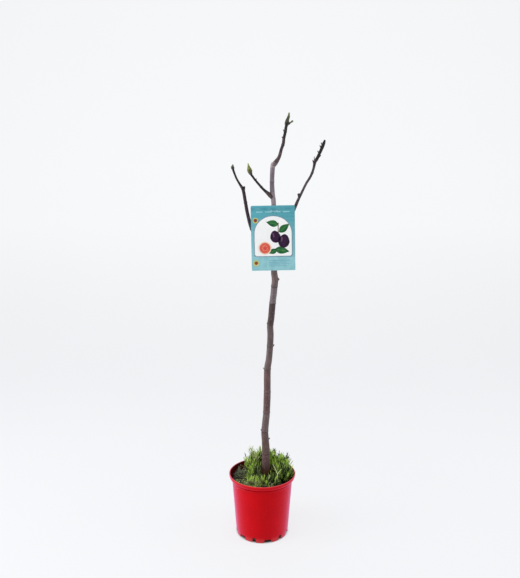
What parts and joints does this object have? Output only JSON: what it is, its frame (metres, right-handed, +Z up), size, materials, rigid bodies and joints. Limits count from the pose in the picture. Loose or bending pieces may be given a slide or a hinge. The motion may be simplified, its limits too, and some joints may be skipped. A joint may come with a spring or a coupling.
{
  "type": "potted fig tree",
  "caption": "Young bare-stemmed fig tree with budding branches in a flared nursery pot with a notched foot, with low weeds on the soil and a picture card tied to its trunk.",
  "frame": {"origin": "on the ground under the middle of the whole plant's box, 38.61 mm to the right of the pot's axis as seen from the front", "axes": "+Z up along the trunk, -Y towards the front with the card's face, +X to the right seen from the front"},
  "size_m": [0.2672, 0.19, 1.1757],
  "materials": {
    "pot_red": "satin",
    "soil_dark": "matte",
    "bark": "matte",
    "bud_green": "satin",
    "bud_grey": "satin",
    "label_card": "satin",
    "tie_clear": "satin",
    "weed_green": "matte",
    "straw": "matte"
  },
  "bodies": {
    "root": {"pot": "pot_red", "soil": "soil_dark", "tree": "bark", "leader_bud": "bud_green", "shoot_bud": "bud_green", "left_bud": "bud_grey", "label": "label_card", "label_tie": "tie_clear", "weeds_back": "weed_green", "weeds_back_left": "weed_green", "weeds_back_right": "weed_green", "weeds_left": "weed_green", "weeds_right": "weed_green", "weeds_front_left": "weed_green", "weeds_front": "weed_green", "weeds_far_left": "weed_green", "dry_stem_right": "straw", "dry_stem_left": "straw"}
  },
  "joints": []
}
